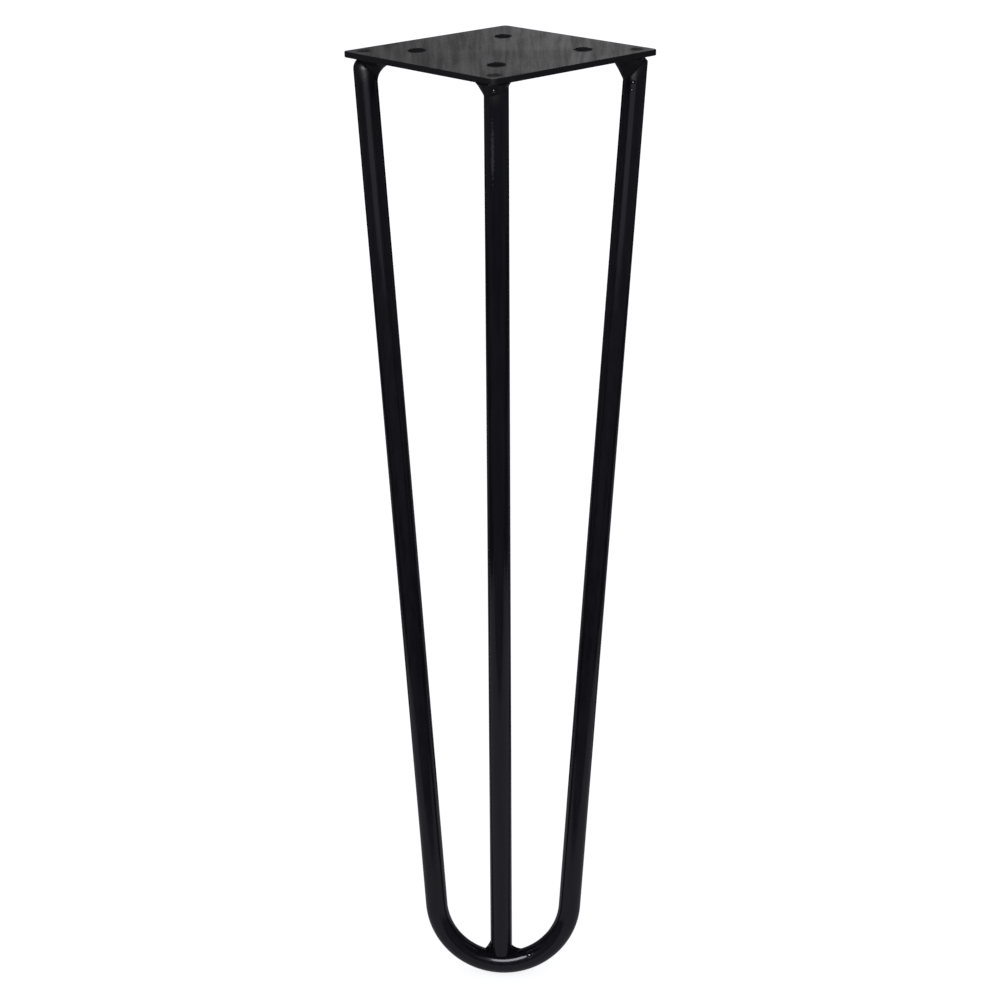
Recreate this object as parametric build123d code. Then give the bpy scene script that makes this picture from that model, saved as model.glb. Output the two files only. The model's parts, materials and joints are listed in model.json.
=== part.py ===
from build123d import *
import os
from math import asin, atan2, cos, hypot, sin, sqrt

# A hairpin table leg, welded from round bar and plate. All sizes are in millimetres.
# The origin is the middle of the plate's top face, which goes against the table top.
# +Z is up, X runs through the two prongs of the bent rod, and the foot reaches forward, to -Y.

# Whole leg
leg_height = 410.0
foot_reach = 90.0  # from the middle of the plate forward to the lowest point of the bend

# Mounting plate
plate_side = 95.0
plate_thickness = 2.5
plate_corner_radius = 2.5
plate_edge_round = 0.5  # of the rim's upper edge
plate_edge_chamfer = 0.3  # of its lower edge
screw_spacing = 50.0  # between neighbouring holes, along the sides of the plate
screw_hole_diameter = 7.0
screw_hole_chamfer = 0.3

# Rods
rod_diameter = 10.0
rod_to_corner = 4.3  # plate that shows outside a rod, along the diagonal to its sharp corner
bend_radius = 31.0  # of the bent rod's centre line
end_stock = 1.2  # rod above the plate's underside before its end is ground level with the plate
left_end_stock = 0.3  # less of the left end is ground off
left_end_inset = 3.2
left_end_taper = 4.0  # length of the left end's bevel along the rod
right_end_chamfer = 2.3
third_end_chamfer = 1.5
third_rod_setback = 4.0  # of the third rod's axis behind the bend's crest
saddle_depth = 1.0  # of the seat that the bend presses into the third rod

# Fillet welds under the plate: their legs on the plate and on the rod
left_weld_on_plate = 8.5
left_weld_on_rod = 9.4
left_weld_hollow = 1.2  # depth of its face below the straight line between its two toes
right_weld_on_plate = 5.0
right_weld_on_rod = 9.4
front_weld_on_plate = 3.4
front_weld_on_rod = 5.4
front_weld_turn = 190.0  # degrees from +X round to the middle of the front bead
weld_wrap = 0.52  # share of a bead's leg on the plate by which its axis stands off the rod's axis

# Weld at the foot
foot_weld_radius = 3.6
foot_weld_drop = 1.4  # of the bead's axis below the bend's crest
foot_weld_left = 3.2  # reach beyond the side of the third rod
foot_weld_right = 3.9

# Worked out from the sizes above
rod_radius = rod_diameter / 2
corner_distance = plate_side / sqrt(2)
rod_offset = corner_distance - rod_to_corner - rod_radius
underside = -plate_thickness
foot_axis_z = rod_radius - leg_height
crest_z = foot_axis_z + rod_radius
lean = atan2(foot_reach, underside - foot_axis_z)
hairpin_length = hypot(foot_reach, underside - foot_axis_z)
hairpin_plane = Plane((0, 0, underside), x_dir=(1, 0, 0), z_dir=(0, -cos(lean), sin(lean)))
third_rod_foot = Vector(0, third_rod_setback - foot_reach, crest_z)
trim = 4 * rod_diameter  # size of the blocks that cut the rod ends level


def mounting_plate():
    """Flat square plate with rounded corners, an eased rim and four plain screw holes."""
    outline = RectangleRounded(plate_side, plate_side, plate_corner_radius, rotation=45)
    plate = extrude(Plane.XY.offset(underside) * outline, plate_thickness)
    plate = fillet(plate.edges().group_by(Axis.Z)[-1], plate_edge_round)
    plate = chamfer(plate.edges().group_by(Axis.Z)[0], plate_edge_chamfer)
    places = PolarLocations(screw_spacing / sqrt(2), 4)
    drill = Pos(0, 0, underside / 2) * Cylinder(screw_hole_diameter / 2, 2 * plate_thickness)
    plate = plate - [place * drill for place in places]
    hole_rims = plate.edges().filter_by(GeomType.CIRCLE)
    hole_rims = hole_rims.filter_by(lambda edge: abs(edge.radius - screw_hole_diameter / 2) < 1e-6)
    return chamfer(hole_rims, screw_hole_chamfer)


def hairpin_path():
    """Centre line of the bent rod: two straight prongs that run tangent into the bend."""
    centre_drop = hairpin_length - bend_radius
    reach = hypot(rod_offset, centre_drop)
    slope = atan2(rod_offset, centre_drop) - asin(bend_radius / reach)
    touch_x = bend_radius * cos(slope)
    touch_y = -centre_drop - bend_radius * sin(slope)
    left_x = -rod_offset - left_end_stock * sin(slope)
    right_x = rod_offset + end_stock * sin(slope)
    left = Line((left_x, left_end_stock * cos(slope)), (-touch_x, touch_y))
    bend = ThreePointArc((-touch_x, touch_y), (0, -hairpin_length), (touch_x, touch_y))
    right = Line((touch_x, touch_y), (right_x, end_stock * cos(slope)))
    return hairpin_plane * (left + bend + right)


def above_plate():
    """Block that cuts the rods and beads level with the plate's underside."""
    width = 2 * plate_side
    return Pos(0, 0, underside + trim / 2) * Box(width, width, trim)


def hairpin_rod():
    """Bent rod, its left end bevelled long, its right end chamfered, and both ground level."""
    path = hairpin_path()
    section = Plane(origin=path @ 0, z_dir=path % 0) * Circle(rod_radius)
    rod = sweep(section, path=path)
    left_end = rod.faces().sort_by_distance(path @ 0)[0]
    rod = chamfer(left_end.edges(), left_end_inset, left_end_taper, reference=left_end)
    right_end = rod.faces().sort_by_distance(path @ 1)[0]
    return chamfer(right_end.edges(), right_end_chamfer) - above_plate()


def third_rod_plane():
    """Plane at the foot of the third rod, with its normal up along the rod."""
    head = Vector(0, -rod_offset, underside)
    return Plane(third_rod_foot, x_dir=(1, 0, 0), z_dir=head - third_rod_foot)


def third_rod(hairpin):
    """Straight rod, chamfered and ground level at the plate, and seated in a shallow saddle on the bend."""
    plane = third_rod_plane()
    head = plane.to_local_coords(Vector(0, -rod_offset, underside))
    length = head.Z + end_stock + trim / 2
    rod = plane * Pos(0, 0, length / 2 - trim / 2) * Cylinder(rod_radius, length)
    rod = chamfer(rod.edges().sort_by(Axis.Z)[-1], third_end_chamfer)
    below = Pos(third_rod_foot.X, third_rod_foot.Y, crest_z - saddle_depth - trim / 2)
    return rod - above_plate() - below * Box(trim, trim, trim) - hairpin


def straight_toe(start, end):
    """Flat face of a bead, from its toe on the plate to its toe on the rod."""
    return Line(start, end)


def hollow_toe(start, end):
    """Hollow face of a bead, in two slopes from its toe on the plate to its toe on the rod."""
    start, end = Vector(*start), Vector(*end)
    inward = (end - start).rotate(Axis.Z, -90).normalized()
    return Polyline(start, (start + end) * 0.5 + inward * left_weld_hollow, end)


def plate_weld(rod, rod_axis, turn, on_plate, on_rod, toe):
    """Fillet bead in the corner of rod and plate, thickest at the given turn and thinning to both ends."""
    offset = on_plate * weld_wrap
    narrow = rod_radius - offset
    wide = narrow + on_plate
    top = trim / 4
    face = make_face(
        [
            Line((0, top), (wide, top)),
            Line((wide, top), (wide, 0)),
            toe((wide, 0), (narrow, -on_rod)),
            Line((narrow, -on_rod), (0, -on_rod)),
            Line((0, -on_rod), (0, top)),
        ]
    )
    flare = revolve(Plane.XZ * face, Axis.Z)
    bead = rod_axis * Rot(0, 0, turn) * Pos(offset, 0, 0) * flare
    return bead - above_plate() - rod


def foot_weld(hairpin, third):
    """Bead behind the third rod's lower end, drawn out to a point on each side."""
    left = -rod_radius - foot_weld_left
    right = rod_radius + foot_weld_right
    outline = [(left, 0), (right, 0), (rod_radius, foot_weld_radius), (-rod_radius, foot_weld_radius)]
    bead = revolve(make_face(Polyline(*outline, close=True)), Axis.X)
    place = third_rod_foot - Vector(0, 0, foot_weld_drop)
    return Pos(*place) * bead - hairpin - third


def prong_plane(side):
    """Plane at the top of a prong, with its normal up along the prong and X level to the right."""
    path = hairpin_path()
    along = (path % 1) if side > 0 else (path % 0) * -1
    return Plane((side * rod_offset, 0, underside), x_dir=(1, 0, -along.X / along.Z), z_dir=along)


def third_top_plane():
    """Plane at the top of the third rod, with its normal up along the rod."""
    return Plane((0, -rod_offset, underside), x_dir=(1, 0, 0), z_dir=third_rod_plane().z_dir)


hairpin = hairpin_rod()
third = third_rod(hairpin)
left_sizes = (left_weld_on_plate, left_weld_on_rod)
right_sizes = (right_weld_on_plate, right_weld_on_rod)
front_sizes = (front_weld_on_plate, front_weld_on_rod)
left_top = prong_plane(-1).location
right_top = prong_plane(1).location
third_top = third_top_plane().location
pieces = {
    "mounting_plate": mounting_plate(),
    "hairpin_rod": hairpin,
    "third_rod": third,
    "left_plate_weld": plate_weld(hairpin, left_top, 0, *left_sizes, hollow_toe),
    "right_plate_weld": plate_weld(hairpin, right_top, 180, *right_sizes, straight_toe),
    "front_plate_weld": plate_weld(third, third_top, front_weld_turn, *front_sizes, straight_toe),
    "foot_weld": foot_weld(hairpin, third),
}
os.makedirs("parts", exist_ok=True)
for name, shape in pieces.items():
    export_step(shape, f"parts/{name}.step")
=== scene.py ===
import bmesh
import bpy
import json
from math import asin, atan2, cos, hypot, pi, radians, sin, sqrt
from mathutils import Matrix, Vector


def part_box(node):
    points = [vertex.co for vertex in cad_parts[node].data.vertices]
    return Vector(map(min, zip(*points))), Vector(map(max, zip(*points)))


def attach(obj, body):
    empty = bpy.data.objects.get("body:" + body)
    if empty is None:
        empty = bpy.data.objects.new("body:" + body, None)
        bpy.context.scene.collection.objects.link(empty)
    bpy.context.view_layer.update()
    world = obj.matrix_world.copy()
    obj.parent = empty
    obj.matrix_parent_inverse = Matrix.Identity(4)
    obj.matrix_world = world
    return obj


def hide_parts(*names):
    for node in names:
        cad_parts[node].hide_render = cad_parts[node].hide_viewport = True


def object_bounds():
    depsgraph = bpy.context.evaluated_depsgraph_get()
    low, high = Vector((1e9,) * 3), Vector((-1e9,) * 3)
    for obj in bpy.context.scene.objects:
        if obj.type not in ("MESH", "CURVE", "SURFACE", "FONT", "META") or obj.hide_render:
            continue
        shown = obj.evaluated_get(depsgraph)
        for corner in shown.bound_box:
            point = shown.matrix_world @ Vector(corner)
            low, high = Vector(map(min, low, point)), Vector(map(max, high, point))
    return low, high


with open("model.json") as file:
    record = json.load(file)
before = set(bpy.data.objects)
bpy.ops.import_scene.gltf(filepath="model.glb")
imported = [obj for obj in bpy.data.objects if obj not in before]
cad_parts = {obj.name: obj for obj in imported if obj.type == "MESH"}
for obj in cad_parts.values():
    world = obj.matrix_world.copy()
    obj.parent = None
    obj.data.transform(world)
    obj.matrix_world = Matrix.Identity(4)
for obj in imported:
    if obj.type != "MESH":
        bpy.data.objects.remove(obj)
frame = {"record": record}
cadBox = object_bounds()  # box of the CAD model, before anything is added
mm = 0.001
plateLow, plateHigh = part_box("mounting_plate")
rodLow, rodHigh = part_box("third_rod")
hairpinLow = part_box("hairpin_rod")[0]
underside = plateLow.z
rodRadius = (rodHigh.x - rodLow.x) / 2
# lowest point of the bend's centre line, and the level of the bar's upper side there
footAxis = Vector((0, hairpinLow.y + rodRadius, hairpinLow.z + rodRadius))
crest = footAxis.z + rodRadius
floorLevel = cadBox[0].z
print("frame loaded, leg height", round((cadBox[1].z - floorLevel) / mm, 1), "mm")


# small helpers for node trees

number, whole, vector = "NodeSocketFloat", "NodeSocketInt", "NodeSocketVector"


def plug(tree, feed, socket):
    if isinstance(feed, bpy.types.NodeSocket):
        tree.links.new(feed, socket)
    else:
        socket.default_value = feed


def addNode(tree, kind, feeds=None, **settings):
    node = tree.nodes.new(kind)
    for name, value in settings.items():
        setattr(node, name, value)
    for key, feed in (feeds or {}).items():
        plug(tree, feed, node.inputs[key])
    return node


def calc(tree, operation, first, second=0.0, third=0.0, clamp=False):
    feeds = {0: first, 1: second, 2: third}
    return addNode(tree, "ShaderNodeMath", feeds, operation=operation, use_clamp=clamp).outputs[0]


def raised(tree, base, mask, amount):
    # the base, changed by the amount where the mask is 1
    return calc(tree, "MULTIPLY_ADD", mask, amount, base)


def vectorCalc(tree, operation, first, second=(0, 0, 0)):
    return addNode(tree, "ShaderNodeVectorMath", {0: first, 1: second}, operation=operation).outputs[0]


def stretched(tree, arrow, factor):
    feeds = {0: arrow, "Scale": factor}
    return addNode(tree, "ShaderNodeVectorMath", feeds, operation="SCALE").outputs[0]


def lengthOf(tree, arrow):
    return addNode(tree, "ShaderNodeVectorMath", {0: arrow}, operation="LENGTH").outputs["Value"]


def split(tree, arrow):
    return addNode(tree, "ShaderNodeSeparateXYZ", {0: arrow}).outputs


def combined(tree, x=0.0, y=0.0, z=0.0):
    return addNode(tree, "ShaderNodeCombineXYZ", {"X": x, "Y": y, "Z": z}).outputs[0]


def ramped(tree, value, low, high, toLow=0.0, toHigh=1.0):
    feeds = {"Value": value, "From Min": low, "From Max": high, "To Min": toLow, "To Max": toHigh}
    return addNode(tree, "ShaderNodeMapRange", feeds, interpolation_type="SMOOTHSTEP").outputs["Result"]


def noiseAt(tree, place, scale, detail=2.0, roughness=0.5):
    feeds = {"Vector": place, "Scale": scale, "Detail": detail, "Roughness": roughness}
    return addNode(tree, "ShaderNodeTexNoise", feeds).outputs["Fac"]


def position(tree):
    return addNode(tree, "GeometryNodeInputPosition").outputs[0]


def circle(tree, sides, radius):
    feeds = {"Resolution": sides, "Radius": radius}
    return addNode(tree, "GeometryNodeCurvePrimitiveCircle", feeds).outputs["Curve"]


def joined(tree, first, second):
    node = addNode(tree, "GeometryNodeJoinGeometry")
    tree.links.new(first, node.inputs[0])
    tree.links.new(second, node.inputs[0])
    return node.outputs[0]


def moved(tree, mesh, **feeds):
    feeds = {"Geometry": mesh, **feeds}
    return addNode(tree, "GeometryNodeSetPosition", feeds).outputs[0]


def captured(tree, geometry, fields):
    # keeps the fields' values on the geometry, to be read after it has become a mesh
    node = addNode(tree, "GeometryNodeCaptureAttribute", {"Geometry": geometry})
    for label, kind, field in fields:
        node.capture_items.new(kind, label)
        plug(tree, field, node.inputs[label])
    return node.outputs


def newTree(name, kind, inputs, outputs):
    tree = bpy.data.node_groups.new(name, kind)
    for label, socketKind, start in inputs:
        socket = tree.interface.new_socket(label, in_out="INPUT", socket_type=socketKind)
        if start is not None:
            socket.default_value = start
    for label, socketKind in outputs:
        tree.interface.new_socket(label, in_out="OUTPUT", socket_type=socketKind)
    return tree, tree.nodes.new("NodeGroupInput").outputs, tree.nodes.new("NodeGroupOutput").inputs


def newMeshTree(name, inputs):
    return newTree(name, "GeometryNodeTree", inputs, [("Mesh", "NodeSocketGeometry")])


def finishTree(tree, mesh, material, result):
    real = addNode(tree, "GeometryNodeRealizeInstances", {0: mesh}).outputs[0]
    coated = addNode(tree, "GeometryNodeSetMaterial", {"Geometry": real, "Material": material})
    plug(tree, coated.outputs[0], result["Mesh"])


def meshFromNodes(name, source, tree, values):
    # runs the tree on the source and keeps its result as a plain mesh
    carrier = bpy.data.objects.new(name + "Source", source)
    bpy.context.scene.collection.objects.link(carrier)
    modifier = carrier.modifiers.new("shape", "NODES")
    modifier.node_group = tree
    sockets = [item for item in tree.interface.items_tree if item.in_out == "INPUT"]
    inputs = {item.name: item.identifier for item in sockets}
    for label, value in values.items():
        modifier[inputs[label]] = value
    evaluated = carrier.evaluated_get(bpy.context.evaluated_depsgraph_get())
    mesh = bpy.data.meshes.new_from_object(evaluated)
    carrier.modifiers.remove(modifier)
    bpy.data.objects.remove(carrier)
    mesh.name = name
    return mesh


def faceOutwards(mesh):
    work = bmesh.new()
    work.from_mesh(mesh)
    bmesh.ops.recalc_face_normals(work, faces=work.faces)
    work.to_mesh(mesh)
    work.free()


def keepPiece(name, mesh, node):
    piece = bpy.data.objects.new(name, mesh)
    bpy.context.scene.collection.objects.link(piece)
    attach(piece, "root")
    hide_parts(node)
    print("piece", name, "has", len(mesh.polygons), "faces")
    return piece


def polyCurve(name, points):
    curve = bpy.data.curves.new(name, "CURVE")
    curve.dimensions = "3D"
    spline = curve.splines.new("POLY")
    spline.points.add(len(points) - 1)
    for spot, point in zip(spline.points, points):
        spot.co = (*point, 1)
    return curve


# finish effects that the materials share

def buildOrangePeel():
    # shallow dimples of a baked powder coat, and slow changes of its gloss
    inputs = [("Vector", vector, None), ("Dimple Size", number, 1.4 * mm), ("Grit", number, 0.25),
              ("Grit Fineness", number, 4.3), ("Patch Fineness", number, 0.06)]
    outputs = [("Height", number), ("Gloss Change", number)]
    tree, given, result = newTree("orangePeel", "ShaderNodeTree", inputs, outputs)
    scale = calc(tree, "DIVIDE", 1.0, given["Dimple Size"])
    broad = noiseAt(tree, given["Vector"], scale, detail=1.0)
    fine = noiseAt(tree, given["Vector"], calc(tree, "MULTIPLY", scale, given["Grit Fineness"]))
    plug(tree, raised(tree, broad, fine, given["Grit"]), result["Height"])
    slowScale = calc(tree, "MULTIPLY", scale, given["Patch Fineness"])
    slow = noiseAt(tree, given["Vector"], slowScale, detail=3.0)
    change = ramped(tree, slow, low=0.3, high=0.7, toLow=-1.0, toHigh=1.0)
    plug(tree, change, result["Gloss Change"])
    return tree


def buildStreakNoise():
    # streaks along one direction, from a squeezed noise
    inputs = [("Vector", vector, None), ("Squeeze", vector, None), ("Low", number, 0.36),
              ("High", number, 0.64)]
    tree, given, result = newTree("streakNoise", "ShaderNodeTree", inputs, [("Mask", number)])
    place = vectorCalc(tree, "DIVIDE", given["Vector"], given["Squeeze"])
    streak = noiseAt(tree, place, 1.0, detail=4.0, roughness=0.62)
    plug(tree, ramped(tree, streak, given["Low"], given["High"]), result["Mask"])
    return tree


def buildRaggedPatch():
    # one ragged patch of the given half sizes, full inside and broken up at its edge
    inputs = [("Vector", vector, None), ("Centre", vector, None), ("Half Size", vector, (1, 1, 1)),
              ("Raggedness", number, 0.5), ("Grain", number, 1 * mm), ("Gone At", number, 1.05),
              ("Full At", number, 0.55)]
    tree, given, result = newTree("raggedPatch", "ShaderNodeTree", inputs, [("Mask", number)])
    away = vectorCalc(tree, "SUBTRACT", given["Vector"], given["Centre"])
    reach = lengthOf(tree, vectorCalc(tree, "DIVIDE", away, given["Half Size"]))
    grainScale = calc(tree, "DIVIDE", 1.0, given["Grain"])
    grain = noiseAt(tree, given["Vector"], grainScale, detail=3.0, roughness=0.6)
    swing = calc(tree, "MULTIPLY_ADD", grain, 2.0, -1.0)
    ragged = raised(tree, reach, swing, given["Raggedness"])
    plug(tree, ramped(tree, ragged, given["Gone At"], given["Full At"]), result["Mask"])
    return tree


orangePeel = buildOrangePeel()
streakNoise = buildStreakNoise()
raggedPatch = buildRaggedPatch()


def plainMaterial(name, settings):
    material = bpy.data.materials.new(name)
    material.use_nodes = True
    shader = material.node_tree.nodes["Principled BSDF"]
    for label, value in settings.items():
        shader.inputs[label].default_value = value
    return material


def startMaterial(name):
    material = plainMaterial(name, {})
    tree = material.node_tree
    spot = addNode(tree, "ShaderNodeTexCoord").outputs["Object"]
    return material, tree, tree.nodes["Principled BSDF"], spot


def grouped(tree, group, feeds):
    node = tree.nodes.new("ShaderNodeGroup")
    node.node_tree = group
    for label, feed in feeds.items():
        plug(tree, feed, node.inputs[label])
    return node.outputs


def mixedColour(tree, share, first, second):
    # 6 and 7 are the Mix node's colour inputs, and 2 is its colour output
    feeds = {"Factor": share, 6: first, 7: second}
    return addNode(tree, "ShaderNodeMix", feeds, data_type="RGBA").outputs[2]


def addBump(tree, shader, height, depth):
    bump = addNode(tree, "ShaderNodeBump", {"Strength": 1.0, "Distance": depth, "Height": height})
    plug(tree, bump.outputs[0], shader.inputs["Normal"])


rodFinish = {
    "black": (0.015, 0.015, 0.019, 1), "streaked": (0.021, 0.021, 0.026, 1),
    "paleStrip": (0.085, 0.085, 0.084, 1),
    "roughness": 0.11, "glossSpread": 0.02, "streakedRoughness": 0.04, "paleStripRoughness": 0.2,
    "dimple": 1.3 * mm, "dimpleDepth": 0.006 * mm, "smear": (2.5 * mm, 2.5 * mm, 60 * mm),
    "stripCentre": (-0.8 * mm, -66.0 * mm, -29 * mm), "stripSize": (0.75 * mm, 6 * mm, 14 * mm),
    "stripRaggedness": 1.0, "stripGrain": 0.9 * mm,
    "heatedFrom": -14 * mm, "heatedFully": -7 * mm, "heatedRoughness": 0.26, "heatedDimples": 6.0}


def rodCoat():
    material, tree, shader, spot = startMaterial("rodCoat")
    peel = grouped(tree, orangePeel, {"Vector": spot, "Dimple Size": rodFinish["dimple"]})
    streaked = grouped(tree, streakNoise, {"Vector": spot, "Squeeze": rodFinish["smear"]})["Mask"]
    # a paler, rougher ragged strip down the front rod
    feeds = {"Vector": spot, "Centre": rodFinish["stripCentre"], "Half Size": rodFinish["stripSize"],
             "Raggedness": rodFinish["stripRaggedness"], "Grain": rodFinish["stripGrain"]}
    paleStrip = grouped(tree, raggedPatch, feeds)["Mask"]
    # the coat is coarser close to the plate, where the welding threw spatter
    heated = ramped(tree, split(tree, spot)["Z"], rodFinish["heatedFrom"], rodFinish["heatedFully"])
    colour = mixedColour(tree, streaked, rodFinish["black"], rodFinish["streaked"])
    plug(tree, mixedColour(tree, paleStrip, colour, rodFinish["paleStrip"]), shader.inputs["Base Color"])
    rough = raised(tree, rodFinish["roughness"], peel["Gloss Change"], rodFinish["glossSpread"])
    rough = raised(tree, rough, streaked, rodFinish["streakedRoughness"])
    rough = raised(tree, rough, heated, rodFinish["heatedRoughness"])
    rough = raised(tree, rough, paleStrip, rodFinish["paleStripRoughness"])
    plug(tree, rough, shader.inputs["Roughness"])
    coarse = raised(tree, 1.0, heated, rodFinish["heatedDimples"])
    addBump(tree, shader, calc(tree, "MULTIPLY", peel["Height"], coarse), rodFinish["dimpleDepth"])
    return material


plateFinish = {
    # the lighter streak colour is painted reflection
    "black": (0.012, 0.012, 0.013, 1), "streaked": (0.03, 0.03, 0.031, 1),
    # the darker colour is the stains' own above the rods, and painted shade round the holes
    "darkened": (0.006, 0.006, 0.006, 1),
    "roughness": 0.32, "glossSpread": 0.02, "streakedRoughness": -0.12, "stainedRoughness": 0.2,
    "holeRingRoughness": 0.55, "rimRoughness": 0.25, "dimple": 1.8 * mm, "dimpleDepth": 0.005 * mm,
    "broadReflectionStreak": (4 * mm, 90 * mm, 20 * mm), "fineReflectionStreak": (1.8 * mm, 60 * mm, 20 * mm),
    "fineShare": 0.35, "viewer": (31 * mm, -769 * mm), "topFrom": -0.12 * mm, "topFully": -0.02 * mm,
    "stainSize": (3.6 * mm, 4.6 * mm, 20 * mm), "holeRingSize": (4.3 * mm, 6.4 * mm, 20 * mm),
    "patchRaggedness": 0.3, "patchGrain": 3 * mm, "dish": 0.4 * mm}


def patchMask(tree, spot, places, size):
    mask = 0.0
    for x, y in places:
        feeds = {"Vector": spot, "Centre": (x, y, 0), "Half Size": size,
                 "Raggedness": plateFinish["patchRaggedness"], "Grain": plateFinish["patchGrain"]}
        mask = calc(tree, "MAXIMUM", grouped(tree, raggedPatch, feeds)["Mask"], mask)
    return mask


def plateReflectionStreaks(tree, flat):
    # painted reflection: lighter, smoother streaks that fan out from the camera's viewpoint, and so
    # stand upright in its view
    viewX, viewY = plateFinish["viewer"]
    across = calc(tree, "SUBTRACT", flat["X"], viewX)
    away = calc(tree, "SUBTRACT", flat["Y"], viewY)
    ray = calc(tree, "DIVIDE", across, away)
    fan = combined(tree, calc(tree, "MULTIPLY", ray, -viewY), flat["Y"], flat["Z"])
    broad = grouped(tree, streakNoise, {"Vector": fan, "Squeeze": plateFinish["broadReflectionStreak"]})["Mask"]
    fine = grouped(tree, streakNoise, {"Vector": fan, "Squeeze": plateFinish["fineReflectionStreak"]})["Mask"]
    broad = calc(tree, "MULTIPLY", broad, 1 - plateFinish["fineShare"])
    return raised(tree, broad, fine, plateFinish["fineShare"])


def plateCoat():
    material, tree, shader, spot = startMaterial("plateCoat")
    peel = grouped(tree, orangePeel, {"Vector": spot, "Dimple Size": plateFinish["dimple"]})
    flat = split(tree, spot)
    onTop = ramped(tree, flat["Z"], plateFinish["topFrom"], plateFinish["topFully"])
    # painted reflection streaks, on the top face only
    streaked = calc(tree, "MULTIPLY", plateReflectionStreaks(tree, flat), onTop)
    # a stain above each rod, and round each hole a dished, rougher ring darkened with painted shade
    rodPlaces = [(0, -rodOffset), (-rodOffset, 0), (rodOffset, 0)]
    ring = holeCircle / 2
    holePlaces = [(ring, 0), (0, ring), (-ring, 0), (0, -ring)]
    darkened = patchMask(tree, spot, rodPlaces, plateFinish["stainSize"])
    holeDishAndShade = patchMask(tree, spot, holePlaces, plateFinish["holeRingSize"])
    # the lighter streaks are painted reflection
    colour = mixedColour(tree, streaked, plateFinish["black"], plateFinish["streaked"])
    # darker over the stains, and with painted shade round the holes
    colour = mixedColour(tree, calc(tree, "MAXIMUM", darkened, holeDishAndShade), colour, plateFinish["darkened"])
    plug(tree, colour, shader.inputs["Base Color"])
    rough = raised(tree, plateFinish["roughness"], peel["Gloss Change"], plateFinish["glossSpread"])
    rough = raised(tree, rough, streaked, plateFinish["streakedRoughness"])
    rough = raised(tree, rough, holeDishAndShade, plateFinish["holeRingRoughness"])
    rough = raised(tree, rough, calc(tree, "SUBTRACT", 1.0, onTop), plateFinish["rimRoughness"])
    rough = raised(tree, rough, darkened, plateFinish["stainedRoughness"])
    plug(tree, rough, shader.inputs["Roughness"])
    dish = -plateFinish["dish"] / plateFinish["dimpleDepth"]  # in dimple depths, as the bump is
    addBump(tree, shader, raised(tree, peel["Height"], holeDishAndShade, dish), plateFinish["dimpleDepth"])
    return material


weldFinish = {
    "black": (0.013, 0.013, 0.016, 1), "sooty": (0.018, 0.018, 0.02, 1), "roughness": 0.2,
    "glossSpread": 0.05, "sootyRoughness": 0.08, "sheen": 0.16, "dimple": 0.9 * mm,
    "dimpleDepth": 0.02 * mm, "grit": 0.4, "patch": 2.5 * mm, "patchFrom": 0.35, "patchFully": 0.7}


def weldCoat():
    material, tree, shader, spot = startMaterial("weldCoat")
    feeds = {"Vector": spot, "Dimple Size": weldFinish["dimple"], "Grit": weldFinish["grit"]}
    peel = grouped(tree, orangePeel, feeds)
    patches = noiseAt(tree, spot, 1 / weldFinish["patch"], detail=3.0)
    sooty = ramped(tree, patches, weldFinish["patchFrom"], weldFinish["patchFully"])
    colour = mixedColour(tree, sooty, weldFinish["black"], weldFinish["sooty"])
    plug(tree, colour, shader.inputs["Base Color"])
    rough = raised(tree, weldFinish["roughness"], peel["Gloss Change"], weldFinish["glossSpread"])
    plug(tree, raised(tree, rough, sooty, weldFinish["sootyRoughness"]), shader.inputs["Roughness"])
    shader.inputs["Specular IOR Level"].default_value = weldFinish["sheen"]
    addBump(tree, shader, peel["Height"], weldFinish["dimpleDepth"])
    return material


dropFinish = {"Base Color": (0.02, 0.02, 0.022, 1), "Roughness": 0.06, "Specular IOR Level": 1.0}


# places that several pieces share

hairpin = {
    "cornerGap": 4.3 * mm, "bendRadius": 31 * mm, "bendSteps": 72, "sunk": 0.1 * mm,
    "leftInset": 4.8 * mm, "leftLength": 5.2 * mm, "leftRoundness": 2.0,
    "rightInset": 2.2 * mm, "rightLength": 2.4 * mm, "rightRoundness": 1.0,
    "closeStep": 0.15 * mm, "closeRun": 6 * mm, "farStep": 5 * mm}
plateSizes = {
    "cornerRadius": 2.5 * mm, "cornerSteps": 10, "rimRound": 0.35 * mm, "roundSteps": 4,
    "holeSides": 64, "holeWidening": 0.25 * mm, "holesWithin": 45 * mm, "sharpAngle": radians(40)}
thirdRod = {
    "setback": 2.5 * mm, "headShift": 0.8 * mm, "footShift": -0.9 * mm, "saddle": 1.0 * mm,
    "footGap": -0.2 * mm, "footSlope": 0.776, "sunk": 0.1 * mm, "topInset": 0.5 * mm,
    "topLength": 0.7 * mm, "closeStep": 0.25 * mm, "closeRun": 4 * mm, "farStep": 5 * mm}
holes = next(mount["dims"] for mount in frame["record"]["mounts"] if mount["name"] == "screw_holes")
holeCircle = holes["pcd_mm"] * mm
# sharp corner of the plate, outside the rounded one
plateCorner = plateHigh.x + plateSizes["cornerRadius"] * (sqrt(2) - 1)
rodOffset = plateCorner - hairpin["cornerGap"] - rodRadius
# the third rod is welded a little off the middle at both ends
thirdFoot = Vector((thirdRod["footShift"], footAxis.y + thirdRod["setback"], crest))
thirdHead = Vector((thirdRod["headShift"], -rodOffset, underside))
rodMaterial = rodCoat()
plateMaterial = plateCoat()
weldMaterial = weldCoat()
dropMaterial = plainMaterial("dropCoat", dropFinish)
print("finishes ready")


# round bar: a swept circle whose ends are shouldered and cut level

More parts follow.
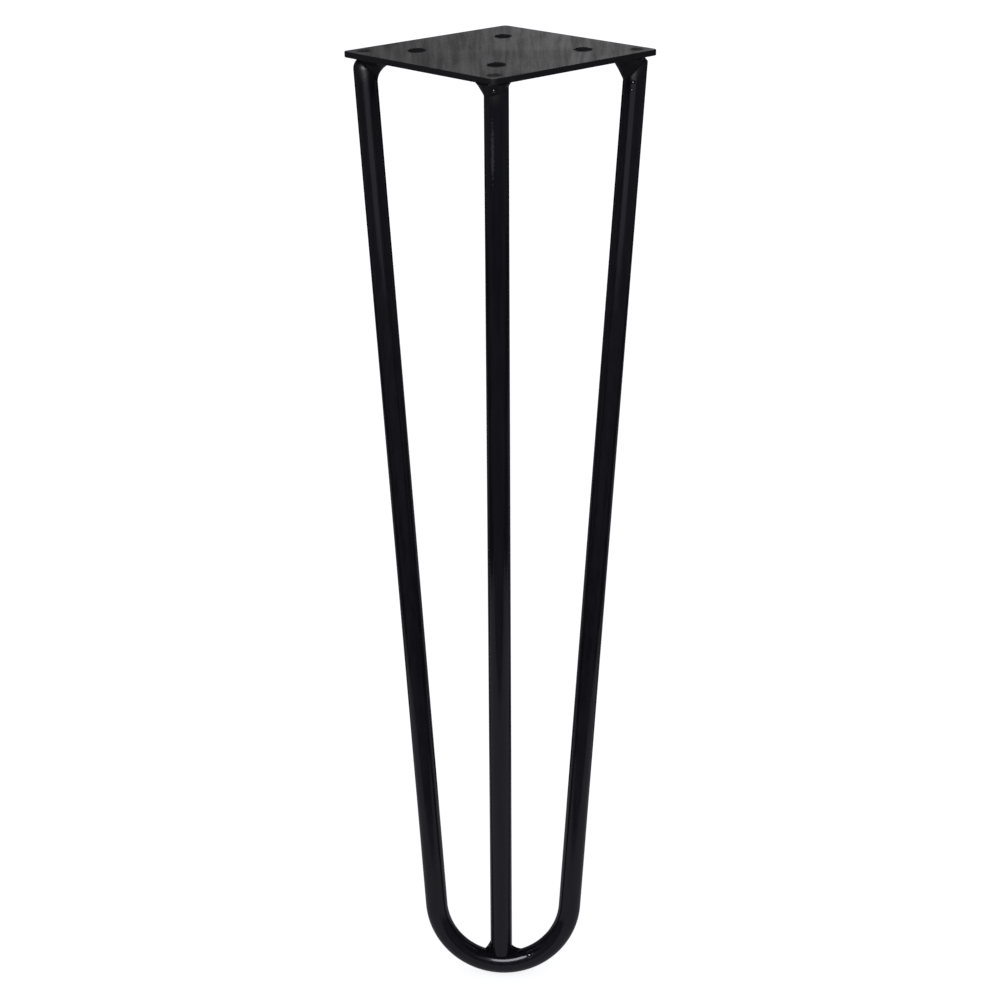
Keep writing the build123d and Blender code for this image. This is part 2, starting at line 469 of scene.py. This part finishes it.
def buildBarTree():
    inputs = [("Path", "NodeSocketGeometry", None), ("Bar Radius", number, 5 * mm), ("Sides", whole, 64),
              ("Start Inset", number, 0.0), ("Start Length", number, 1 * mm),
              ("Start Roundness", number, 1.0), ("End Inset", number, 0.0),
              ("End Length", number, 1 * mm), ("End Roundness", number, 1.0),
              ("Level Length", number, 12 * mm), ("Material", "NodeSocketMaterial", None)]
    tree, given, result = newMeshTree("roundBar", inputs)
    run = addNode(tree, "GeometryNodeSplineParameter").outputs["Length"]
    fullRun = addNode(tree, "GeometryNodeSplineLength").outputs["Length"]
    tangent = addNode(tree, "GeometryNodeInputTangent").outputs[0]
    fields = [("Centre", "VECTOR", position(tree)), ("Axis", "VECTOR", tangent),
              ("From Start", "FLOAT", run), ("From End", "FLOAT", calc(tree, "SUBTRACT", fullRun, run))]
    line = captured(tree, given["Path"], fields)
    ring = circle(tree, given["Sides"], given["Bar Radius"])
    feeds = {"Curve": line["Geometry"], "Profile Curve": ring, "Fill Caps": True}
    tube = addNode(tree, "GeometryNodeCurveToMesh", feeds).outputs["Mesh"]
    spoke = vectorCalc(tree, "SUBTRACT", position(tree), line["Centre"])

    def nearness(distance, length):
        return calc(tree, "SUBTRACT", 1.0, calc(tree, "DIVIDE", distance, length), clamp=True)

    def shoulder(end):
        # roundness 1 gives a chamfer and 2 a quarter of an ellipse
        near = nearness(line["From " + end], given[end + " Length"])
        roundness = given[end + " Roundness"]
        left = calc(tree, "SUBTRACT", 1.0, calc(tree, "POWER", near, roundness), clamp=True)
        kept = calc(tree, "POWER", left, calc(tree, "DIVIDE", 1.0, roundness))
        depth = calc(tree, "DIVIDE", given[end + " Inset"], given["Bar Radius"])
        drop = calc(tree, "MULTIPLY", calc(tree, "SUBTRACT", 1.0, kept), depth)
        return calc(tree, "SUBTRACT", 1.0, drop)

    spoke = stretched(tree, spoke, calc(tree, "MULTIPLY", shoulder("Start"), shoulder("End")))
    level = calc(tree, "MAXIMUM", nearness(line["From Start"], given["Level Length"]),
                 nearness(line["From End"], given["Level Length"]))
    slide = calc(tree, "DIVIDE", split(tree, spoke)["Z"], split(tree, line["Axis"])["Z"])
    slide = stretched(tree, line["Axis"], calc(tree, "MULTIPLY", slide, level))
    spoke = vectorCalc(tree, "SUBTRACT", spoke, slide)
    shaped = moved(tree, tube, Position=vectorCalc(tree, "ADD", line["Centre"], spoke))
    # faces with up to four corners are the bar's side, and the end caps stay flat
    corners = addNode(tree, "GeometryNodeInputMeshFaceNeighbors").outputs["Vertex Count"]
    feeds = {2: corners, 3: 5}
    side = addNode(tree, "FunctionNodeCompare", feeds, data_type="INT", operation="LESS_THAN").outputs[0]
    feeds = {"Geometry": shaped, "Shade Smooth": side}
    smooth = addNode(tree, "GeometryNodeSetShadeSmooth", feeds).outputs[0]
    finishTree(tree, smooth, given["Material"], result)
    return tree


barTree = buildBarTree()


def runAlong(start, end, closeStep, closeRun, farStep):
    # points from start to end, close together near the start
    length = (end - start).length
    distances = [closeStep * k for k in range(round(closeRun / closeStep))]
    count = round((length - closeRun) / farStep)
    distances += [closeRun + (length - closeRun) * k / count for k in range(count + 1)]
    return [start.lerp(end, distance / length) for distance in distances]


def hairpinFrame():
    # the bent bar lies in a plane that leans back from the foot to the plate
    drop = underside - footAxis.z
    lean = atan2(-footAxis.y, drop)
    centreDrop = hypot(footAxis.y, drop) - hairpin["bendRadius"]
    reach = hypot(rodOffset, centreDrop)
    slope = atan2(rodOffset, centreDrop) - asin(hairpin["bendRadius"] / reach)
    return lean, centreDrop, slope


def onHairpin(across, up):
    lean = hairpinFrame()[0]
    return Vector((across, up * sin(lean), underside + up * cos(lean)))


def prongDirection(side):
    slope = hairpinFrame()[2]
    return onHairpin(side * sin(slope), cos(slope)) - onHairpin(0, 0)


def hairpinPoints():
    lean, centreDrop, slope = hairpinFrame()
    radius = hairpin["bendRadius"]
    top = hairpin["sunk"] / cos(lean)
    end = Vector((rodOffset + top * sin(slope), top * cos(slope)))
    touch = Vector((radius * cos(slope), -centreDrop - radius * sin(slope)))
    prong = runAlong(end, touch, hairpin["closeStep"], hairpin["closeRun"], hairpin["farStep"])
    points = [onHairpin(-p.x, p.y) for p in prong]
    for k in range(1, hairpin["bendSteps"]):
        angle = slope + (pi - 2 * slope) * k / hairpin["bendSteps"]
        points.append(onHairpin(-radius * cos(angle), -centreDrop - radius * sin(angle)))
    return points + [onHairpin(p.x, p.y) for p in reversed(prong)]


def makeHairpin():
    values = {"Bar Radius": rodRadius, "Start Inset": hairpin["leftInset"],
              "Start Length": hairpin["leftLength"], "Start Roundness": hairpin["leftRoundness"],
              "End Inset": hairpin["rightInset"], "End Length": hairpin["rightLength"],
              "End Roundness": hairpin["rightRoundness"], "Material": rodMaterial}
    return meshFromNodes("hairpinRod", polyCurve("hairpinPath", hairpinPoints()), barTree, values)


keepPiece("hairpinRod", makeHairpin(), "hairpin_rod")


def cutFoot(mesh, up):
    # the front of the lower end is cut at a slant, so a dark gap shows between it and the bend
    slope = thirdRod["footSlope"]
    front = thirdFoot.y - rodRadius
    for spot in mesh.vertices:
        missing = crest + thirdRod["footGap"] - slope * (spot.co.y - front) - spot.co.z
        if missing > 0:
            spot.co += up * (missing / (up.z + slope * up.y))


def makeThirdRod():
    up = (thirdHead - thirdFoot).normalized()
    top = thirdHead + up * (thirdRod["sunk"] / up.z)
    bottom = thirdFoot - up * (thirdRod["saddle"] / up.z)
    points = runAlong(top, bottom, thirdRod["closeStep"], thirdRod["closeRun"], thirdRod["farStep"])
    values = {"Bar Radius": rodRadius, "Start Inset": thirdRod["topInset"],
              "Start Length": thirdRod["topLength"], "Material": rodMaterial}
    mesh = meshFromNodes("thirdRod", polyCurve("thirdRodPath", points), barTree, values)
    cutFoot(mesh, up)
    return mesh


keepPiece("thirdRod", makeThirdRod(), "third_rod")


# mounting plate: a rounded square with four holes, thickened, with a rounded rim

def buildPlateTree():
    inputs = [("Blank", "NodeSocketGeometry", None), ("Side", number, 95 * mm),
              ("Corner Radius", number, 2.5 * mm), ("Corner Steps", whole, 10),
              ("Thickness", number, 2.5 * mm), ("Hole Circle", number, 70 * mm), ("Holes", whole, 4),
              ("Hole Radius", number, 3.5 * mm), ("Hole Sides", whole, 64),
              ("Material", "NodeSocketMaterial", None)]
    tree, given, result = newMeshTree("drilledPlate", inputs)
    feeds = {"Width": given["Side"], "Height": given["Side"]}
    square = addNode(tree, "GeometryNodeCurvePrimitiveQuadrilateral", feeds, mode="RECTANGLE").outputs[0]
    feeds = {"Curve": square, "Count": given["Corner Steps"], "Radius": given["Corner Radius"]}
    rounded = addNode(tree, "GeometryNodeFilletCurve", feeds, mode="POLY").outputs[0]
    feeds = {"Geometry": rounded, "Rotation": (0, 0, pi / 4)}
    turned = addNode(tree, "GeometryNodeTransform", feeds).outputs[0]
    drillLine = circle(tree, given["Holes"], calc(tree, "MULTIPLY", given["Hole Circle"], 0.5))
    feeds = {"Curve": drillLine}
    spots = addNode(tree, "GeometryNodeCurveToPoints", feeds, mode="EVALUATED").outputs["Points"]
    feeds = {"Points": spots, "Instance": circle(tree, given["Hole Sides"], given["Hole Radius"])}
    drilled = addNode(tree, "GeometryNodeInstanceOnPoints", feeds).outputs[0]
    drilled = addNode(tree, "GeometryNodeRealizeInstances", {0: drilled}).outputs[0]
    feeds = {"Curve": joined(tree, turned, drilled)}
    face = addNode(tree, "GeometryNodeFillCurve", feeds, mode="NGONS").outputs[0]
    drop = combined(tree, z=calc(tree, "MULTIPLY", given["Thickness"], -1.0))
    feeds = {"Mesh": face, "Offset": drop, "Offset Scale": 1.0, "Individual": False}
    sides = addNode(tree, "GeometryNodeExtrudeMesh", feeds, mode="FACES").outputs["Mesh"]
    feeds = {"Geometry": joined(tree, sides, face), "Distance": 0.001 * mm}
    merged = addNode(tree, "GeometryNodeMergeByDistance", feeds).outputs[0]
    smooth = addNode(tree, "GeometryNodeSetShadeSmooth", {"Geometry": merged}).outputs[0]
    finishTree(tree, smooth, given["Material"], result)
    return tree


def rimEdges(work):
    # sharp level edges that lie too far from the middle to be a hole's
    rim = []
    for edge in work.edges:
        start, end = (spot.co for spot in edge.verts)
        reach = max(abs(start.x) + abs(start.y), abs(end.x) + abs(end.y))
        outside = reach >= plateSizes["holesWithin"]
        sharp = edge.calc_face_angle(0.0) > plateSizes["sharpAngle"]
        if outside and sharp and abs(start.z - end.z) < mm:
            rim.append(edge)
    return rim


def easeEdges(mesh):
    # the holes keep sharp edges, and the rim is left for the bevel that rounds it
    work = bmesh.new()
    work.from_mesh(mesh)
    weight = work.edges.layers.float.new("bevel_weight_edge")
    for edge in work.edges:
        edge.smooth = edge.calc_face_angle(0.0) < plateSizes["sharpAngle"]
    for edge in rimEdges(work):
        edge[weight] = 1.0
        edge.smooth = True
    work.to_mesh(mesh)
    work.free()


def makePlate():
    values = {"Side": plateCorner * sqrt(2), "Corner Radius": plateSizes["cornerRadius"],
              "Corner Steps": plateSizes["cornerSteps"], "Thickness": -underside,
              "Hole Circle": holeCircle, "Holes": holes["count"],
              "Hole Radius": holes["hole_r_mm"] * mm + plateSizes["holeWidening"],
              "Hole Sides": plateSizes["holeSides"], "Material": plateMaterial}
    blank = bpy.data.meshes.new("plateBlank")
    mesh = meshFromNodes("mountingPlate", blank, buildPlateTree(), values)
    faceOutwards(mesh)
    easeEdges(mesh)
    return mesh


plate = keepPiece("mountingPlate", makePlate(), "mounting_plate")
rimBevel = plate.modifiers.new("roundedRim", "BEVEL")
rimBevel.width = plateSizes["rimRound"]
rimBevel.segments = plateSizes["roundSteps"]
rimBevel.limit_method = "WEIGHT"
rimBevel.harden_normals = True


# weld beads: a fillet swept round a rod, swelling in the middle and rippled along its run

def lumpHeight(tree, given):
    feeds = {"Vector": position(tree), "W": given["Seed"], "Detail": 2.0,
             "Scale": calc(tree, "DIVIDE", 1.0, given["Lump Size"])}
    lump = addNode(tree, "ShaderNodeTexNoise", feeds, noise_dimensions="4D").outputs["Fac"]
    return calc(tree, "MULTIPLY", calc(tree, "SUBTRACT", lump, 0.5), given["Lump Height"])


def alongNormal(tree, height):
    return stretched(tree, addNode(tree, "GeometryNodeInputNormal").outputs[0], height)


def buildBeadTree():
    inputs = [("Path", "NodeSocketGeometry", None), ("Flat Leg", number, 4 * mm),
              ("Rod Leg", number, 6 * mm), ("Hollow", vector, None), ("Sunk", number, 0.4 * mm),
              ("Face Cuts", whole, 11), ("Swell", number, 1.0), ("Least", number, 0.02),
              ("Ripple Pitch", number, 1.2 * mm), ("Ripple Height", number, 0.05 * mm),
              ("Ripple Bow", number, 0.35), ("Lump Size", number, 3 * mm),
              ("Lump Height", number, 0.25 * mm), ("Level", number, 0.0), ("Shear", vector, None),
              ("Seed", number, 0.0), ("Material", "NodeSocketMaterial", None)]
    tree, given, result = newMeshTree("weldBead", inputs)
    # section: a triangle between rod and plate, its face hollowed between the two toes
    outward, along = given["Flat Leg"], given["Rod Leg"]
    back = calc(tree, "MULTIPLY", given["Sunk"], -1.0)
    onFlat = combined(tree, x=outward)
    onRod = combined(tree, y=along)
    corner = combined(tree, back, back)
    halfWay = stretched(tree, vectorCalc(tree, "ADD", corner, onFlat), 0.5)
    feeds = {"Point 1": onFlat, "Point 2": onRod, "Point 3": corner, "Point 4": halfWay}
    section = addNode(tree, "GeometryNodeCurvePrimitiveQuadrilateral", feeds, mode="POINTS").outputs[0]
    feeds = {"Curve": section, "Cuts": given["Face Cuts"]}
    section = addNode(tree, "GeometryNodeSubdivideCurve", feeds).outputs[0]
    spot = split(tree, position(tree))
    shareOut = calc(tree, "DIVIDE", spot["X"], outward, clamp=True)
    shareAlong = calc(tree, "DIVIDE", spot["Y"], along, clamp=True)
    # 0 at both toes and 1 half way between them
    middle = calc(tree, "MULTIPLY", calc(tree, "MULTIPLY", shareOut, shareAlong), 4.0)
    dip = stretched(tree, given["Hollow"], calc(tree, "MULTIPLY", middle, -1.0))
    face = captured(tree, moved(tree, section, Offset=dip), [("Share", "FLOAT", middle)])
    # sweep: thin at both ends of the run and full in the middle
    parameter = addNode(tree, "GeometryNodeSplineParameter").outputs
    run = captured(tree, given["Path"], [("Run", "FLOAT", parameter["Length"])])
    feeds = {"Curve": run["Geometry"]}
    upright = addNode(tree, "GeometryNodeSetCurveNormal", feeds, mode="Z_UP").outputs[0]
    offMiddle = calc(tree, "MULTIPLY_ADD", parameter["Factor"], 2.0, -1.0)
    plump = calc(tree, "SUBTRACT", 1.0, calc(tree, "MULTIPLY", offMiddle, offMiddle), clamp=True)
    plump = calc(tree, "MAXIMUM", calc(tree, "POWER", plump, given["Swell"]), given["Least"])
    feeds = {"Curve": upright, "Profile Curve": face["Geometry"], "Scale": plump, "Fill Caps": True}
    bead = addNode(tree, "GeometryNodeCurveToMesh", feeds).outputs["Mesh"]
    # ripples, bowed across the face, and lumps
    turn = calc(tree, "DIVIDE", run["Run"], given["Ripple Pitch"])
    bow = calc(tree, "MULTIPLY", given["Ripple Bow"], -1.0)
    wave = calc(tree, "SINE", calc(tree, "MULTIPLY", raised(tree, turn, face["Share"], bow), 2 * pi))
    swing = raised(tree, lumpHeight(tree, given), wave, given["Ripple Height"])
    swing = calc(tree, "MULTIPLY", swing, face["Share"])
    rippled = moved(tree, bead, Offset=alongNormal(tree, swing))
    # the bead leans with its rod, below the level of the plate's underside
    spot = split(tree, position(tree))
    height = calc(tree, "SUBTRACT", spot["Z"], given["Level"])
    level = combined(tree, spot["X"], spot["Y"], given["Level"])
    rise = vectorCalc(tree, "ADD", given["Shear"], (0, 0, 1))
    placed = vectorCalc(tree, "ADD", level, stretched(tree, rise, height))
    leaned = moved(tree, rippled, Position=placed)
    smooth = addNode(tree, "GeometryNodeSetShadeSmooth", {"Geometry": leaned}).outputs[0]
    finishTree(tree, smooth, given["Material"], result)
    return tree


beadTree = buildBeadTree()
beadSteps = 96
# turn and reach are in degrees round the rod
plateBeads = [
    {"name": "leftPlateWeld", "node": "left_plate_weld", "place": (-rodOffset, 0),
     "axis": prongDirection(-1), "turn": -10, "reach": 105, "flatLeg": 12.5 * mm, "rodLeg": 10.5 * mm,
     "hollow": (3.0 * mm, 0.9 * mm, 0), "swell": 1.6, "least": 0.02, "seed": 1.0,
     "spatter": [(-57.6, -5.0, -5.5, 0.4), (-57.2, -5.35, -7.1, 0.45), (-57.9, -5.3, -8.2, 0.35)]},
    {"name": "rightPlateWeld", "node": "right_plate_weld", "place": (rodOffset, 0),
     "axis": prongDirection(1), "turn": 200, "reach": 112, "flatLeg": 6.2 * mm, "rodLeg": 9.6 * mm,
     "hollow": (0.2 * mm, 0.1 * mm, 0), "swell": 1.0, "least": 0.02, "seed": 2.0,
     "spatter": [(56.5, -6.65, -12.8, 1.25), (56.0, -7.3, -15.8, 1.0)]},
    {"name": "frontPlateWeld", "node": "front_plate_weld", "place": (thirdHead.x, -rodOffset),
     "axis": thirdHead - thirdFoot, "turn": 190, "reach": 178, "flatLeg": 3.4 * mm, "rodLeg": 5.4 * mm,
     "hollow": (0.2 * mm, 0.1 * mm, 0), "swell": 1.0, "least": 0.34, "seed": 3.0,
     "spatter": [(0.1, -63.9, -5.0, 1.0)]}]


def addSpatter(mesh, drops):
    # drops of weld metal, given by place and radius in millimetres
    mesh.materials.append(dropMaterial)
    work = bmesh.new()
    work.from_mesh(mesh)
    for x, y, z, radius in drops:
        place = Matrix.Translation(Vector((x, y, z)) * mm)
        ball = bmesh.ops.create_icosphere(work, subdivisions=3, radius=radius * mm, matrix=place)
        for face in {face for spot in ball["verts"] for face in spot.link_faces}:
            face.smooth = True
            face.material_index = len(mesh.materials) - 1
    work.to_mesh(mesh)
    work.free()


def makeBead(bead):
    x, y = bead["place"]
    points = []
    for k in range(beadSteps + 1):
        angle = radians(bead["turn"] + bead["reach"] * (2 * k / beadSteps - 1))
        points.append((x + rodRadius * cos(angle), y + rodRadius * sin(angle), underside))
    axis = bead["axis"]
    values = {"Flat Leg": bead["flatLeg"], "Rod Leg": bead["rodLeg"], "Hollow": bead["hollow"],
              "Swell": bead["swell"], "Least": bead["least"], "Seed": bead["seed"], "Level": underside,
              "Shear": (axis.x / axis.z, axis.y / axis.z, 0), "Material": weldMaterial}
    mesh = meshFromNodes(bead["name"], polyCurve(bead["name"] + "Path", points), beadTree, values)
    addSpatter(mesh, bead["spatter"])
    faceOutwards(mesh)
    return mesh


for bead in plateBeads:
    keepPiece(bead["name"], makeBead(bead), bead["node"])


# weld at the foot: a flattened bead behind the third rod, drawn out to a horn on each side

def buildSpindleTree():
    inputs = [("Path", "NodeSocketGeometry", None), ("Sides", whole, 48), ("Depth", number, 1.0),
              ("Lump Size", number, 1.6 * mm), ("Lump Height", number, 0.15 * mm), ("Seed", number, 0.0),
              ("Material", "NodeSocketMaterial", None)]
    tree, given, result = newMeshTree("spindleBead", inputs)
    line = captured(tree, given["Path"], [("Centre", "VECTOR", position(tree))])
    thickness = addNode(tree, "GeometryNodeInputRadius").outputs[0]
    feeds = {"Curve": line["Geometry"], "Profile Curve": circle(tree, given["Sides"], 1.0),
             "Scale": thickness, "Fill Caps": True}
    bead = addNode(tree, "GeometryNodeCurveToMesh", feeds).outputs["Mesh"]
    spoke = vectorCalc(tree, "SUBTRACT", position(tree), line["Centre"])
    spoke = vectorCalc(tree, "MULTIPLY", spoke, combined(tree, 1.0, given["Depth"], 1.0))
    flattened = moved(tree, bead, Position=vectorCalc(tree, "ADD", line["Centre"], spoke))
    lumpy = moved(tree, flattened, Offset=alongNormal(tree, lumpHeight(tree, given)))
    smooth = addNode(tree, "GeometryNodeSetShadeSmooth", {"Geometry": lumpy}).outputs[0]
    finishTree(tree, smooth, given["Material"], result)
    return tree


footWeld = {
    "setback": 4.2 * mm, "drop": 1.4 * mm, "sideSetback": 2.5 * mm, "sideDrop": 0.2 * mm,
    "sideFrom": 0.5, "depth": 0.75, "radius": 3.9 * mm, "swellRate": 2,
    "leftRadius": 4.6 * mm, "leftReach": 4.3 * mm, "rightRadius": 2.4 * mm, "rightReach": 6.2 * mm,
    "hornShape": 2.2, "hornDrop": 1.0 * mm, "tip": 0.05 * mm, "step": 0.15 * mm, "seed": 4.0,
    "spatter": [(12.5, -91.8, -399.65, 2.0)]}


def beyondRod(across):
    # share of the way from the rod's side to the tip of the horn, below 0 behind the rod
    side = "left" if across < 0 else "right"
    return side, (abs(across) - rodRadius) / footWeld[side + "Reach"]


def between(first, second, share):
    return first + (second - first) * share


def footWeldPoints():
    # places along the bead, each with its radius: full behind the rod and hollow towards both tips
    first, last = -rodRadius - footWeld["leftReach"], rodRadius + footWeld["rightReach"]
    count = round((last - first) / footWeld["step"])
    points = []
    for k in range(count + 1):
        across = first + (last - first) * k / count
        side, beyond = beyondRod(across)
        edge = footWeld[side + "Radius"]
        if beyond > 0:
            radius = edge * max(0, 1 - beyond) ** footWeld["hornShape"]
        else:
            radius = between(edge, footWeld["radius"], min(1, -beyond * footWeld["swellRate"]))
        points.append(((thirdFoot.x + across, 0, 0), max(radius, footWeld["tip"])))
    return points


def layOnBend(mesh):
    # the bead lies low behind the rod, and forward and up on both sides, where it follows the bend
    innerRadius = hairpin["bendRadius"] - rodRadius
    sideFrom = footWeld["sideFrom"]
    for spot in mesh.vertices:
        across = spot.co.x - thirdFoot.x
        toSide = min(1, max(0, (abs(across) / rodRadius - sideFrom) / (1 - sideFrom)))
        drop = between(footWeld["drop"], footWeld["sideDrop"], toSide)
        drop += footWeld["hornDrop"] * max(0, beyondRod(across)[1])
        spot.co.y += footAxis.y + between(footWeld["setback"], footWeld["sideSetback"], toSide)
        spot.co.z += crest - drop + across ** 2 / (2 * innerRadius)


def makeFootWeld():
    points = footWeldPoints()
    path = polyCurve("footWeldPath", [place for place, radius in points])
    for spot, (place, radius) in zip(path.splines[0].points, points):
        spot.radius = radius
    values = {"Depth": footWeld["depth"], "Seed": footWeld["seed"], "Material": weldMaterial}
    mesh = meshFromNodes("footWeld", path, buildSpindleTree(), values)
    layOnBend(mesh)
    addSpatter(mesh, footWeld["spatter"])
    faceOutwards(mesh)
    return mesh


keepPiece("footWeld", makeFootWeld(), "foot_weld")


# floor, studio light and camera

studio = {"sky": 0.26, "skyColour": (0.9, 0.92, 1.1, 1), "floorReach": 12.0, "wallRadius": 11.0,
          "wallSides": 96}
floorFinish = {"Base Color": (0.9, 0.9, 0.88, 1), "Roughness": 1.0, "Specular IOR Level": 0.0,
               "Emission Color": (1, 1, 1, 1), "Emission Strength": 0.85}
wallFinish = {"Base Color": (0, 0, 0, 1), "Specular IOR Level": 0.0, "Emission Color": (1, 1, 1, 1),
              "Emission Strength": 1.0}


def addSurface(name, mesh, material):
    # the leg neither mirrors such a surface nor takes light from it
    mesh.materials.append(material)
    surface = bpy.data.objects.new(name, mesh)
    bpy.context.scene.collection.objects.link(surface)
    surface.visible_glossy = False
    surface.visible_diffuse = False
    return surface


def addFloor():
    reach = studio["floorReach"]
    corners = [(-reach, -reach), (reach, -reach), (reach, reach), (-reach, reach)]
    mesh = bpy.data.meshes.new("floor")
    mesh.from_pydata([(x, y, floorLevel) for x, y in corners], [], [(0, 1, 2, 3)])
    floor = addSurface("floor", mesh, plainMaterial("paleFloor", floorFinish))


def addBackdrop():
    # a pale wall far round the floor, seen by the camera only
    radius = studio["wallRadius"]
    work = bmesh.new()
    bmesh.ops.create_cone(work, cap_ends=False, segments=studio["wallSides"], radius1=radius,
                          radius2=radius, depth=2 * radius)
    mesh = bpy.data.meshes.new("backdrop")
    work.to_mesh(mesh)
    work.free()
    wall = addSurface("backdrop", mesh, plainMaterial("paleWall", wallFinish))
    wall.visible_shadow = False


def addSky():
    world = bpy.data.worlds.new("studioSky")
    world.use_nodes = True
    bpy.context.scene.world = world
    background = world.node_tree.nodes["Background"]
    background.inputs["Color"].default_value = studio["skyColour"]
    background.inputs["Strength"].default_value = studio["sky"]
    world.cycles_visibility.glossy = False


cool, neutral = (0.97, 0.96, 1.06), (1.0, 0.985, 1.01)
onFloor = floorLevel + 1 * mm  # height of the panels that lie on the floor and shine up
panelEnergy = 4  # energy of a panel of one square metre with a radiance of 1
panels = [
    {"name": "overheadSoftbox", "place": (-0.25, -1.05, 0.75), "target": (0, -0.09, -0.4),
     "size": (0.95, 0.5), "radiance": 6.5, "colour": cool},
    {"name": "frontPanel", "place": (-0.06, -0.77, 0.32), "target": (0, 0, -0.05),
     "size": (0.75, 0.58), "radiance": 0.25, "colour": cool},
    {"name": "frontWash", "place": (0, -1.8, 0.45), "target": (0, 0, 0.1),
     "size": (4.0, 1.3), "radiance": 0.078, "colour": cool},
    {"name": "lowWash", "place": (0, -1.8, -0.27), "target": (0, 0, -0.27),
     "size": (4.0, 0.26), "radiance": 0.028, "colour": cool},
    {"name": "leftWash", "place": (-1.6, -0.1, 0.25), "target": (0, -0.1, 0.25),
     "size": (2.6, 1.3), "radiance": 0.065, "colour": cool},
    {"name": "rightWash", "place": (1.6, -0.1, 0.25), "target": (0, -0.1, 0.25),
     "size": (2.6, 1.3), "radiance": 0.065, "colour": cool},
    {"name": "backPanel", "place": (1.15, 2.2, 0.4), "target": (1.15, 0, 0),
     "size": (2.7, 0.6), "radiance": 0.205, "colour": neutral},
    {"name": "backLeftPanel", "place": (-1.35, 2.2, 0.4), "target": (-1.35, 0, 0),
     "size": (2.3, 0.6), "radiance": 0.165, "colour": neutral},
    {"name": "backRightPanel", "place": (0.5, 2.19, 0.4), "target": (0, 0, 0),
     "size": (1.2, 0.6), "radiance": 0.075, "colour": neutral},
    {"name": "farGlow", "place": (0, -1.15, onFloor), "target": (0, -1.15, 1),
     "size": (3.0, 1.3), "radiance": 0.06, "colour": cool},
    {"name": "backGlow", "place": (0, 0.65, onFloor), "target": (0, 0.65, 1),
     "size": (1.6, 1.1), "radiance": 0.12, "colour": cool},
    {"name": "tableGlow", "place": (0, -0.2, onFloor), "target": (0, -0.2, 1),
     "size": (1.0, 0.5), "radiance": 0.22, "colour": cool}]


def addPanel(panel):
    lamp = bpy.data.lights.new(panel["name"], "AREA")
    lamp.shape = "RECTANGLE"
    lamp.size, lamp.size_y = panel["size"]
    lamp.energy = panel["radiance"] * lamp.size * lamp.size_y * panelEnergy
    lamp.color = panel["colour"]
    light = bpy.data.objects.new(panel["name"], lamp)
    bpy.context.scene.collection.objects.link(light)
    light.location = panel["place"]
    light.rotation_mode = "QUATERNION"
    aim = Vector(panel["target"]) - Vector(panel["place"])
    light.rotation_quaternion = aim.to_track_quat("-Z", "Y")
    light.visible_camera = False
    light.visible_diffuse = False


cameraSetup = {"place": (31.0 * mm, -769.2 * mm, 129.4 * mm), "yaw": 0.0435, "pitch": 0.4132,
               "roll": 0.0136, "focalPixels": 1786.8, "framePixels": 1000, "sensor": 36.0,
               "nearest": 0.01}


def addCamera():
    lens = bpy.data.cameras.new("camera")
    lens.sensor_width = cameraSetup["sensor"]
    lens.lens = cameraSetup["focalPixels"] * cameraSetup["sensor"] / cameraSetup["framePixels"]
    lens.clip_start = cameraSetup["nearest"]
    camera = bpy.data.objects.new("camera", lens)
    bpy.context.scene.collection.objects.link(camera)
    turn = Matrix.Rotation(cameraSetup["yaw"], 4, "Z")
    turn = turn @ Matrix.Rotation(pi / 2 - cameraSetup["pitch"], 4, "X")
    turn = turn @ Matrix.Rotation(-cameraSetup["roll"], 4, "Z")
    camera.matrix_world = Matrix.Translation(cameraSetup["place"]) @ turn
    bpy.context.scene.camera = camera


addFloor()
addBackdrop()
addSky()
for panel in panels:
    addPanel(panel)
addCamera()
bpy.context.scene.view_settings.view_transform = "Standard"
print("studio ready")
